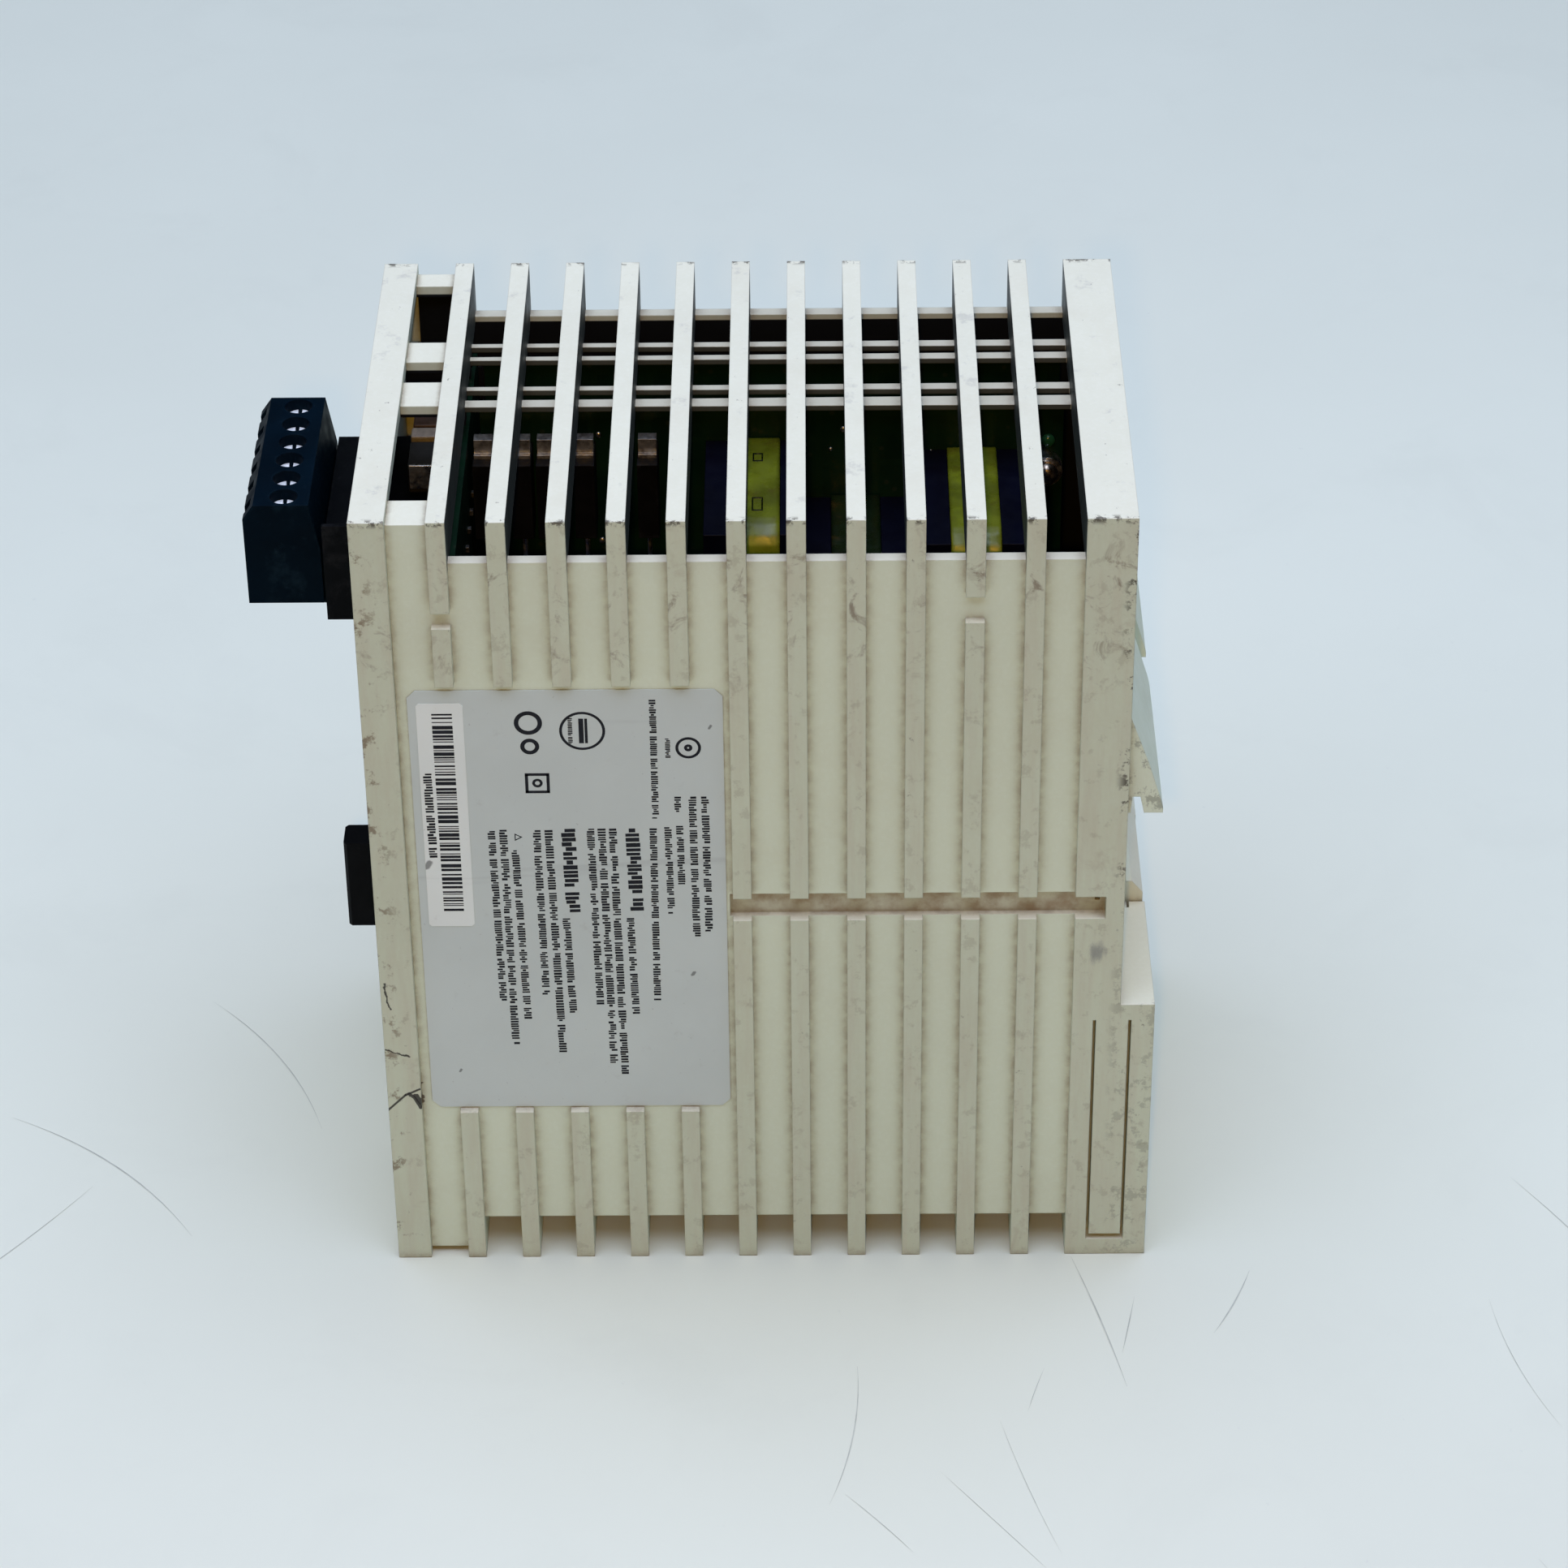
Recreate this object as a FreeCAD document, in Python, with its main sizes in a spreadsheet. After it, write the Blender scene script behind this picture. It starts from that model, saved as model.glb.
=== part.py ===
import FreeCAD, Part
import math
import os

os.makedirs("parts", exist_ok=True)

# A module for a 35 mm top-hat rail: beige ribbed case, front cover, pluggable
# six-pole terminal, push button, rail latch, and the boards and wound parts
# inside.  +Z is up, the front faces -Y, the rail side faces +Y, and the side
# that carries the rating label faces +X.  Heights start at the case's feet.
# Depths in the sheet are counted from the front cover's face; y_origin moves
# them so that the origin is under the middle of the whole assembly.
# All sizes are millimetres.

doc = FreeCAD.newDocument("din_rail_power_supply")
sheet = doc.addObject("Spreadsheet::Sheet", "Dims")
_row = [1]
_known = {}


def dim(alias, value):
    """Put one number in the sheet and return the expression that names it."""
    if alias in _known:
        return "Dims." + alias
    cell = "B%d" % _row[0]
    sheet.set("A%d" % _row[0], alias)
    sheet.set(cell, "%.5f" % value)
    sheet.setAlias(cell, alias)
    _known[alias] = value
    _row[0] += 1
    return "Dims." + alias


# ---- driving dimensions -------------------------------------------------
for alias, value in (
        ("case_half", 37.0),        # half the case's width over its ribs
        ("case_top", 131.0),        # height over the ribs
        ("case_rear", 108.35),      # rear wall's outer face
        ("y_origin", 48.05),        # depth of the origin
        ("cover_depth", 4.97),      # front cover's depth
        ("rib_first", 10.642),      # first rib's front face
        ("rib_pitch", 8.241),
        ("rib_width", 2.683),
        ("rib_height", 1.3),        # ribs stand this far out of the side wall
        ("wall", 1.9),              # side wall's thickness
        ("cavity_low", 8.5),        # inside of the case, bottom and top
        ("cavity_high", 122.5),
        ("wall_low", 6.9),          # side wall's bottom and top edges
        ("wall_high", 123.7),
        ("rear_block", 101.29),     # rear block's front face
        ("rail_ledge", 47.5),       # top of the ledge that carries the rail
        ("rear_reach", 113.4),      # rearmost plane of the ledge and hooks
        ("label_low", 28.3),
        ("label_high", 102.7),
        ("pole_pitch", 5.08),
        ("plug_axis_y", -11.5),     # clamping screws' depth
        ("pin_z", 108.6),           # header pins' height
        ("wire_z", 108.4),          # wire entries' height
        ("screw_travel", 1.5),      # rise of a clamp cage
        ("board", 1.6)):
    dim(alias, value)

SIDE = "(Dims.case_half-Dims.rib_height)"
INNER = "(Dims.case_half-Dims.rib_height-Dims.wall)"


def ex(owner, key, value):
    """A number becomes a cell of the sheet; a string is used as it stands."""
    if isinstance(value, str):
        return value
    return dim("%s_%s" % (owner, key), value)


def place(obj, x, y, z, rot=None):
    if rot is not None:
        obj.Placement = FreeCAD.Placement(FreeCAD.Vector(0, 0, 0), rot)
    obj.setExpression("Placement.Base.x", x)
    obj.setExpression("Placement.Base.y", "(%s)-Dims.y_origin" % y)
    obj.setExpression("Placement.Base.z", z)


def box(name, x0, x1, y0, y1, z0, z1):
    o = doc.addObject("Part::Box", name)
    a = [ex(name, k, v) for k, v in
         (("xa", x0), ("xb", x1), ("ya", y0), ("yb", y1), ("za", z0), ("zb", z1))]
    o.setExpression("Length", "(%s)-(%s)" % (a[1], a[0]))
    o.setExpression("Width", "(%s)-(%s)" % (a[3], a[2]))
    o.setExpression("Height", "(%s)-(%s)" % (a[5], a[4]))
    place(o, a[0], a[2], a[4])
    return o


ROT = {"z": None,
       "x": FreeCAD.Rotation(FreeCAD.Vector(0, 1, 0), 90),
       "y": FreeCAD.Rotation(FreeCAD.Vector(1, 0, 0), -90)}


def cyl(name, axis, x, y, z, r, length):
    """A cylinder from (x, y, z) along +axis."""
    o = doc.addObject("Part::Cylinder", name)
    o.setExpression("Radius", ex(name, "r", r))
    o.setExpression("Height", ex(name, "len", length))
    place(o, ex(name, "x", x), ex(name, "y", y), ex(name, "z", z), ROT[axis])
    return o


def prism(name, plane, pts, a, b):
    """A padded sketch: profile pts in plane YZ, XZ or XY, from a to b."""
    body = doc.addObject("PartDesign::Body", name)
    sk = body.newObject("Sketcher::SketchObject", name + "_sketch")
    role = {"YZ": "YZ_Plane", "XZ": "XZ_Plane", "XY": "XY_Plane"}[plane]
    origin = [f for f in body.Origin.OriginFeatures if f.Role == role][0]
    sk.AttachmentSupport = (origin, [""])
    sk.MapMode = "FlatFace"
    n = len(pts)
    num = [tuple(_known.get(c.replace("Dims.", ""), 1.0) if isinstance(c, str) else c
                 for c in p) for p in pts]
    for i in range(n):
        p, q = num[i], num[(i + 1) % n]
        sk.addGeometry(Part.LineSegment(FreeCAD.Vector(p[0], p[1], 0),
                                        FreeCAD.Vector(q[0], q[1], 0)), False)
    import Sketcher
    for i in range(n):
        sk.addConstraint(Sketcher.Constraint("Coincident", i, 2, (i + 1) % n, 1))
    for i in range(n):
        for k, kind in ((0, "DistanceX"), (1, "DistanceY")):
            c = sk.addConstraint(Sketcher.Constraint(kind, -1, 1, i, 1, num[i][k]))
            sk.setExpression("Constraints[%d]" % c,
                             ex(name, "%s%d" % ("uv"[k], i), pts[i][k]))
    pad = body.newObject("PartDesign::Pad", name + "_pad")
    pad.Profile = sk
    ea, eb = ex(name, "start", a), ex(name, "end", b)
    pad.setExpression("Length", "(%s)-(%s)" % (eb, ea))
    if plane == "XZ":
        pad.Reversed = True
    sk.Visibility = False
    if plane == "YZ":
        place(body, ea, "0", "0")
    elif plane == "XZ":
        place(body, "0", ea, "0")
    else:
        place(body, "0", "0", ea)
    return body


def fuse(name, parts):
    if len(parts) == 1:
        return parts[0]
    o = doc.addObject("Part::MultiFuse", name)
    o.Shapes = parts
    return o


def cut(name, base, tools):
    o = doc.addObject("Part::Cut", name)
    o.Base = base
    o.Tool = fuse(name + "_tools", tools) if isinstance(tools, list) else tools
    return o


def group(name, parts):
    o = doc.addObject("Part::Compound", name)
    o.Links = parts
    return o


nodes = []


def node(label, obj):
    obj.Label = label
    nodes.append((label, obj))
    return obj


# ---- case ---------------------------------------------------------------
ribs = []
for k in range(11):
    y0 = "Dims.rib_first+%d*Dims.rib_pitch" % k
    ribs.append(box("rib%d" % k, "-Dims.case_half", "Dims.case_half", y0,
                    y0 + "+Dims.rib_width", "0", "Dims.case_top"))
outer = ribs + [
    box("wall_near", INNER, SIDE, 10.6, "Dims.rear_block+0.1",
        "Dims.wall_low", "Dims.wall_high"),
    box("wall_far", "-" + SIDE, "-" + INNER, 10.6, "Dims.rear_block+0.1",
        "Dims.wall_low", "Dims.wall_high"),
    box("front_ring", "-" + SIDE, SIDE, "Dims.cover_depth", "Dims.rib_first+0.05",
        1.1, 129.9),
    box("rear_wall_block", "-Dims.case_half", "Dims.case_half", "Dims.rear_block",
        "Dims.case_rear", "0", "Dims.case_top"),
    box("ledge_block", "-Dims.case_half", "Dims.case_half", "Dims.case_rear-0.1",
        "Dims.rear_reach", "0", "Dims.rail_ledge"),
]
HOOK = [(108.25, 97.9), (111.14, 89.8), (113.05, 83.5), ("Dims.rear_reach", 82.0),
        ("Dims.rear_reach", 81.2), (110.7, 81.2), (110.1, 84.0), (109.0, 84.0),
        (108.8, 81.2), (108.25, 81.2)]
outer.append(prism("hook_near", "YZ", HOOK, 4.0, 36.0))
outer.append(prism("hook_far", "YZ", HOOK, -36.0, -4.5))
shell = cut("case_shell", fuse("case_outer", outer), [
    box("cavity", "-" + INNER, INNER, 10.5, 106.0, "Dims.cavity_low", "Dims.cavity_high"),
    box("cavity_front", "-" + INNER, INNER, 4.8, "Dims.rib_first", 3.0, 128.1),
    # windows in the top and bottom of the front ring
    box("ring_win_a", 3.4, 29.2, 4.8, "Dims.rib_first", 126, 131),
    box("ring_win_b", -9.2, -3.4, 4.8, "Dims.rib_first", 126, 131),
    box("ring_win_c", -31.9, -15.0, 4.8, "Dims.rib_first", 126, 131),
    box("ring_win_d", 3.4, 29.2, 4.8, "Dims.rib_first", 0.5, 4),
    box("ring_win_e", -31.9, -15.0, 4.8, "Dims.rib_first", 0.5, 4),
    # ribs stop either side of the rating label
    box("label_recess", SIDE, 40, "Dims.cover_depth-0.1", 51.5, 28.0, 104.0),
    # long horizontal groove
    box("groove", "Dims.case_half-Dims.rib_height-0.8", 40, 51.4, 105.7, 63.2, 67.1),
    box("groove_hole", 30, 36, 104.2, 104.9, 65.1, 65.8),
    # small notches in two ribs
    box("notch_rear", SIDE, 40, 84.7, 87.6, 114.2, 118.4),
    box("notch_front", SIDE, 40, 10.5, 13.4, 113.7, 116.2),
    # slot in the rear wall
    box("rear_slot", -8, 8, 105.0, 109.0, 64.8, 67.2),
    # channel of the rail latch, with side slots that hold it in
    box("latch_way", -11.3, 11.3, 109.2, 114.0, -0.5, 48.0),
    box("latch_side_way", -12.8, 12.8, 109.2, 111.0, -0.5, 48.0),
    # snap tongue cut into the labelled side, over the ledge block
    box("tongue_slit_a", 34.6, 38, 104.4, 104.85, 3.0, 44.7),
    box("tongue_slit_b", 34.6, 38, 109.6, 110.05, 3.0, 44.7),
    box("tongue_slit_c", 34.6, 38, 104.4, 110.05, 2.9, 3.9),
])
guides = []
for tag, lo, hi, ba, bb in (("top", 122.95, 123.8, 120.7, 123.0),
                            ("bottom", 7.2, 8.05, 8.0, 10.3)):
    for n, (near, c, far) in enumerate(((-20.0, -22.8, -25.6), (-6.4, -10.1, -12.9))):
        guides.append(prism("guide_%s_%da" % (tag, n), "XY",
                            [(near, 101.4), (c + 0.95, 101.4), (c + 1.45, 10.6),
                             (near - 0.35, 10.6)], lo, hi))
        guides.append(prism("guide_%s_%db" % (tag, n), "XY",
                            [(far, 101.4), (far + 0.35, 10.6), (c - 1.45, 10.6),
                             (c - 0.95, 101.4)], lo, hi))
        # blocks under three of the ribs hold the board's edge
        for k in (0, 5, 10):
            ya = "Dims.rib_first+%d*Dims.rib_pitch" % k
            for side, xa, xb in (("a", c + 0.95, near - 0.4), ("b", far + 0.4, c - 0.95)):
                guides.append(box("block_%s_%d%s%d" % (tag, n, side, k), xa, xb, ya,
                                  ya + "+Dims.rib_width", ba, bb))
latch_stop = box("latch_stop", -2.3, 2.3, 109.1, 112.4, 18.0, 21.0)
node("housing_body", fuse("housing", [shell, latch_stop] + guides))

# ---- front cover --------------------------------------------------------
cover = cut("cover_shell",
            box("cover_block", "-Dims.case_half", "Dims.case_half", "0",
                "Dims.cover_depth", "0", "Dims.case_top"), [
    box("cover_hollow", -34.9, 34.9, 2.0, 5.5, 2.1, 128.9),
    box("header_window", -15.8, 15.8, -1, 3, 101.2, 117.7),
    box("button_window", -2.8, 2.8, -1, 3, 37.1, 53.1),
    cyl("pipe_hole_a", "y", 12.0, -1, 84.0, 1.56, 4.0),
    cyl("pipe_hole_b", "y", 12.0, -1, 76.0, 1.56, 4.0),
    cyl("trimmer_hole", "y", -12.0, -1, 80.0, 2.2, 4.0)])
tabs = []
for sx in (-1, 1):
    for zc in (20.0, 112.0):
        nm = "tab_%s_%d" % ("ab"[sx > 0], zc)
        xs = sorted((sx * 32.2, sx * 33.6))
        tabs.append(box(nm, xs[0], xs[1], 1.9, 14.0, zc - 4, zc + 4))
node("front_cover", fuse("cover", [cover] + tabs))

# ---- labels -------------------------------------------------------------


def card(name, x0, x1, y0, y1, z0, z1, r):
    """A thin plate on the labelled side with bevelled corners."""
    return prism(name, "YZ", [(y0 + r, z0), (y1 - r, z0), (y1, z0 + r), (y1, z1 - r),
                              (y1 - r, z1), (y0 + r, z1), (y0, z1 - r), (y0, z0 + r)],
                 x0, x1)


node("rating_label", card("label", 35.7, 35.85, 6.5, 50.9, 28.3, 102.7, 1.2))
node("serial_sticker", card("sticker", 35.85, 35.93, 7.7, 14.3, 61.8, 100.6, 0.4))

# ---- rail latch ---------------------------------------------------------
latch = cut("latch_cut", fuse("latch_solid", [
    box("latch_plate", -11.0, 11.0, 109.5, 113.1, 0.6, "Dims.rail_ledge"),
    box("latch_wings", -12.5, 12.5, 109.5, 110.7, 0.6, 47.2),
    prism("latch_lip", "YZ", [(109.9, 47.3), (113.1, 47.3), (113.1, 49.0),
                              (111.4, 51.1), (110.6, 51.1), (109.9, 50.3)], -11.0, 11.0)]), [
    box("latch_spring_way", -2.6, 2.6, 109.0, 114.0, 12.6, 36.0),
    box("latch_tool_slot", -3.0, 3.0, 109.0, 114.0, 2.6, 5.0)])
node("din_latch", latch)


def coil(name, axis, x, y, z, mean_r, wire_r, length, turns):
    """A compression spring from (x, y, z) along +axis."""
    helix = doc.addObject("Part::Helix", name + "_path")
    helix.setExpression("Radius", ex(name, "mean", mean_r))
    helix.setExpression("Height", ex(name, "length", length - 2 * wire_r))
    helix.setExpression("Pitch", ex(name, "pitch", (length - 2 * wire_r) / turns))
    wire = doc.addObject("Part::Circle", name + "_wire")
    wire.setExpression("Radius", ex(name, "wire", wire_r))
    wire.Placement = FreeCAD.Placement(
        FreeCAD.Vector(mean_r, 0, 0), FreeCAD.Rotation(FreeCAD.Vector(1, 0, 0), 90))
    sw = doc.addObject("Part::Sweep", name)
    sw.Sections = [wire]
    sw.Spine = (helix, [])
    sw.Solid = True
    sw.Frenet = True
    place(sw, ex(name, "x", x), ex(name, "y", y), ex(name, "z", z), ROT[axis])
    return sw


node("latch_spring", coil("latch_coil", "z", 0.0, 111.3, 21.45, 1.35, 0.25, 14.2, 7))

# ---- terminal header, fixed behind the cover -----------------------------
header = fuse("header_solid", [
    box("header_base", -15.24, 15.24, 5.0, 11.9, 101.5, 114.0),
    box("header_roof", -15.24, 15.24, -6.2, 5.1, 112.7, 114.0),
    box("header_floor", -15.24, 15.24, -6.2, 5.1, 101.5, 103.4),
    box("header_end_a", 14.5, 15.24, -6.2, 5.1, 101.5, 117.2),
    box("header_end_b", -15.24, -14.5, -6.2, 5.1, 101.5, 114.0),
    box("header_step", -15.24, 15.24, -0.6, 2.2, 113.9, 115.6)])
pins = []
pin_holes = []
for i in range(6):
    px = (i - 2.5) * 5.08
    cx = "%g*Dims.pole_pitch" % (i - 2.5)
    pins.append(box("pin%d" % i, cx + "-0.4", cx + "+0.4", -4.5, 14.1,
                    "Dims.pin_z-0.4", "Dims.pin_z+0.4"))
    pin_holes.append(box("pin_hole%d" % i, cx + "-0.4", cx + "+0.4", 4.9, 12.0,
                         "Dims.pin_z-0.4", "Dims.pin_z+0.4"))
node("terminal_header", cut("header", header, pin_holes))
node("header_pins", group("header_pin_group", pins))

# ---- pluggable terminal block --------------------------------------------
plug_solid = fuse("plug_solid", [
    prism("plug_block", "YZ", [(-17.3, 104.4), (-6.5, 104.4), (-6.5, 113.2),
                               (-7.8, 120.7), (-15.7, 120.7), (-17.3, 118.4)],
          -15.24, 15.24),
    box("plug_nose", -14.2, 14.2, -6.6, 3.0, 103.75, 112.35)])
tools = []
for i in range(6):
    cx = "%g*Dims.pole_pitch" % (i - 2.5)
    tools += [
        cyl("well%d" % i, "z", cx, "Dims.plug_axis_y", 117.0, 2.0, 5.0),
        cyl("shank_hole%d" % i, "z", cx, "Dims.plug_axis_y", 114.4, 1.1, 2.7),
        box("chamber%d" % i, cx + "-2.15", cx + "+2.15", -14.6, -8.8, 105.3, 114.5),
        cyl("entry%d" % i, "y", cx, -18.0, "Dims.wire_z", 1.4, 3.6),
        box("scallop%d" % i, cx + "-1.0", cx + "+1.0", -17.5, -16.2, 116.6, 119.9),
        box("nose_way%d" % i, cx + "-1.05", cx + "+1.05", -8.9, 3.1, 107.0, 111.3)]
node("terminal_plug", cut("plug", plug_solid, tools))

contacts = []
for i in range(6):
    cx = "%g*Dims.pole_pitch" % (i - 2.5)
    bar = box("bar%d" % i, cx + "-1.0", cx + "+1.0", -13.6, -7.4, 110.3, 111.1)
    sock = cut("socket%d" % i,
               box("sock_block%d" % i, cx + "-1.05", cx + "+1.05", -7.5, 2.7, 107.0, 111.1),
               [box("sock_hole%d" % i, cx + "-0.65", cx + "+0.65", -7.6, 2.8,
                    "Dims.pin_z-0.65", "Dims.pin_z+0.65")])
    contacts.append(fuse("contact%d" % i, [bar, sock]))
node("plug_contacts", group("plug_contact_group", contacts))

for i in range(6):
    cx = "%g*Dims.pole_pitch" % (i - 2.5)
    head = cyl("head%d" % i, "z", cx, "Dims.plug_axis_y", 117.05, 1.9, 2.0)
    shank = cyl("shank%d" % i, "z", cx, "Dims.plug_axis_y", 111.35, 1.0, 5.75)
    slot = box("slot%d" % i, cx + "-2.2", cx + "+2.2", "Dims.plug_axis_y-0.3",
               "Dims.plug_axis_y+0.3", 118.3, 119.4)
    node("terminal_screw_%d" % (i + 1), cut("tscrew%d" % i, fuse("tscrew_solid%d" % i, [head, shank]), [slot]))
for i in range(6):
    cx = "%g*Dims.pole_pitch" % (i - 2.5)
    node("clamp_cage_%d" % (i + 1), cut(
        "cage%d" % i,
        box("cage_block%d" % i, cx + "-1.85", cx + "+1.85", -14.1, -9.3, 105.6, 112.6),
        [box("cage_way%d" % i, cx + "-1.45", cx + "+1.45", -15, -8, 106.5, 111.45),
         cyl("cage_thread%d" % i, "z", cx, "Dims.plug_axis_y", 111.0, 1.08, 2.5)]))

# ---- push button and its switch ------------------------------------------
button = fuse("button_solid", [
    prism("button_cap", "XY", [(-2.5, 2.6), (-2.5, -7.5), (-2.0, -8.0), (2.0, -8.0),
                               (2.5, -7.5), (2.5, 2.6)], 37.4, 52.8),
    box("button_flange", -3.6, 3.6, 2.35, 3.5, 36.2, 54.0),
    box("button_stem", -1.4, 1.4, 3.4, 5.8, 43.7, 46.5),
    cyl("button_plunger", "y", 0.0, 5.7, 45.1, 1.25, 3.6)])
node("push_button", button)
node("button_spring", coil("button_coil", "y", 0.0, 3.55 + 0.25, 45.1, 2.5, 0.25, 4.9, 4))
node("button_switch", cut("switch", box("switch_block", -3.6, 3.6, 8.7, 12.0, 41.5, 48.7),
                          [cyl("switch_bore", "y", 0.0, 8.0, 45.1, 1.32, 5.0)]))

# ---- boards --------------------------------------------------------------
front_pcb = cut("front_board_cut",
                box("front_board", -31.0, 31.0, 12.0, "12.0+Dims.board", 30.0, 119.0),
                [box("front_board_pin%d" % i, "%g*Dims.pole_pitch-0.45" % (i - 2.5),
                     "%g*Dims.pole_pitch+0.45" % (i - 2.5), 11.5, 14.0,
                     "Dims.pin_z-0.45", "Dims.pin_z+0.45") for i in range(6)])
node("front_board", front_pcb)
node("main_board", box("main_pcb", "-10.1-Dims.board/2", "-10.1+Dims.board/2",
                       15.2, 100.4, 8.7, 122.2))
node("second_board", box("second_pcb", "-22.8-Dims.board/2", "-22.8+Dims.board/2",
                         15.2, 100.4, 8.7, 122.2))
node("board_link", box("link_block", -22.0, -10.9, 60.0, 86.0, 12.0, 17.0))
node("front_board_link", box("front_link_block", -9.3, -4.0, 13.6, 18.8, 52.0, 78.0))

# ---- wound parts ----------------------------------------------------------
for i, (yc, top) in enumerate(((55.4, 117.0), (70.0, 107.2), (87.0, 115.2))):
    a, c = "core%d" % i, "wind%d" % i
    node("transformer_core_%d" % (i + 1), group(a, [
        box(a + "f", -9.3, 17.0, yc - 7.25, yc - 3.65, top - 24.0, top - 0.6),
        box(a + "r", -9.3, 17.0, yc + 3.65, yc + 7.25, top - 24.0, top - 0.6)]))
    round_off = [(13.2 + 4.0 * math.cos(math.radians(t)), t) for t in (0, 22.5, 45, 67.5, 90)]
    node("transformer_winding_%d" % (i + 1), prism(
        c, "XZ", [(-9.3, top - 24.4)]
        + [(u, top - 20.4 - 4.0 * math.sin(math.radians(t))) for u, t in round_off[::-1]]
        + [(u, top - 4.0 + 4.0 * math.sin(math.radians(t))) for u, t in round_off]
        + [(-9.3, top)], yc - 3.62, yc + 3.62))

# ---- power packages, capacitors and the rest of the main board ------------
pack_y = (15.8, 21.3, 25.0, 30.5, 39.7)
node("power_packages", group("package_group", [
    box("package%d" % i, -9.3, -2.4, yc - 1.5, yc + 1.5, 104.0, 116.4)
    for i, yc in enumerate(pack_y)]))
# a folded steel lug stands on top of each package
node("package_tabs", group("tab_group", [
    fuse("package_tab%d" % i, [
        box("tab_foot%d" % i, -7.6, -4.4, yc - 1.35, yc + 1.35, 116.4, 117.0),
        box("tab_rise%d" % i, -6.9, -5.1, yc - 1.35, yc + 1.35, 116.9, 119.2)])
    for i, yc in enumerate(pack_y)]))
node("bulk_capacitors", group("bulk_group", [
    cyl("bulk%d" % i, "x", -9.3, 28.0, zc, 8.8, 27.0) for i, zc in enumerate((88.0, 68.0))]))
node("output_capacitors", group("output_group", [
    cyl("output%d" % i, "x", -9.3, yc, zc, 4.9, 18.0)
    for i, (yc, zc) in enumerate(((24.0, 46.0), (36.0, 46.0), (48.0, 46.0)))]))
node("film_capacitor", box("film_block", -9.3, 6.0, 46.0, 64.0, 66.0, 76.0))
choke = cut("choke_ring", cyl("choke_outer", "x", -8.8, 72.0, 44.0, 10.5, 9.0),
            [cyl("choke_inner", "x", -9.8, 72.0, 44.0, 5.0, 11.0)])
node("line_choke", choke)
node("input_fuse", fuse("fuse", [
    cyl("fuse_tube", "z", -5.9, 93.0, 26.0, 2.5, 20.0),
    cyl("fuse_cap_a", "z", -5.9, 93.0, 25.0, 3.0, 5.0),
    cyl("fuse_cap_b", "z", -5.9, 93.0, 42.0, 3.0, 5.0),
    box("fuse_foot_a", -9.3, -6.2, 92.0, 94.0, 26.0, 28.0),
    box("fuse_foot_b", -9.3, -6.2, 92.0, 94.0, 44.0, 46.0)]))
node("bridge_rectifier", box("bridge", -9.3, 5.5, 88.0, 92.0, 60.0, 82.0))
node("control_chips", group("chip_group", [
    box("chip%d" % i, -25.6, -23.6, yc - 4.5, yc + 4.5, zc - 3.0, zc + 3.0)
    for i, (yc, zc) in enumerate(((30.0, 104.0), (52.0, 92.0), (76.0, 104.0),
                                  (40.0, 62.0), (70.0, 56.0)))]))
node("signal_transistors", group("transistor_group", [
    box("transistor%d" % i, -14.6, -10.9, yc - 2.2, yc + 2.2, zc - 2.4, zc + 2.4)
    for i, (yc, zc) in enumerate(((22.0, 110.0), (35.0, 110.0), (49.0, 113.0),
                                  (64.0, 112.0), (80.0, 113.0), (92.0, 108.0)))]))
node("board_screws", group("screw_group", [
    cyl("board_screw%d" % i, "x", -9.3, 97.9, zc, 2.4, 2.2)
    for i, zc in enumerate((112.0, 18.0))]))

# ---- indicator lights and trimmer -----------------------------------------
node("light_pipes", group("pipe_group", [
    cyl("pipe%d" % i, "y", 12.0, -0.4, zc, 1.5, 10.6) for i, zc in enumerate((84.0, 76.0))]))
node("indicator_leds", group("led_group", [
    box("led%d" % i, 10.8, 13.2, 10.4, 12.0, zc - 1.2, zc + 1.2)
    for i, zc in enumerate((84.0, 76.0))]))
node("trimmer_body", cut("trimmer_cut",
                         box("trimmer_block", -15.3, -8.7, 7.0, 12.0, 76.7, 83.3),
                         [cyl("trimmer_bore", "y", -12.0, 6.5, 80.0, 1.75, 3.5)]))
node("trimmer_rotor", cut("trimmer_rotor_cut",
                          cyl("rotor_block", "y", -12.0, 6.2, 80.0, 1.7, 3.6),
                          [box("rotor_slot", -14.0, -10.0, 6.0, 7.0, 79.7, 80.3)]))

# ---- checks and export ----------------------------------------------------
doc.recompute()
for o in doc.Objects:
    if "Invalid" in o.State or "Error" in o.State:
        raise RuntimeError("failed object: %s (%s)" % (o.Name, o.State))
labels = [label for label, _ in nodes]
if len(set(labels)) != len(labels):
    raise RuntimeError("two nodes share a name")
for label, obj in nodes:
    shape = obj.Shape
    if shape.isNull() or not shape.isValid() or shape.Volume <= 0:
        raise RuntimeError("bad shape: " + label)
for label, obj in nodes:
    if len(label) >= 60:
        raise RuntimeError("name too long: " + label)
    obj.Shape.exportStep(os.path.join("parts", label + ".step"))
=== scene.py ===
import bpy
import bmesh
import math
import random
from mathutils import Matrix, Vector


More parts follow.
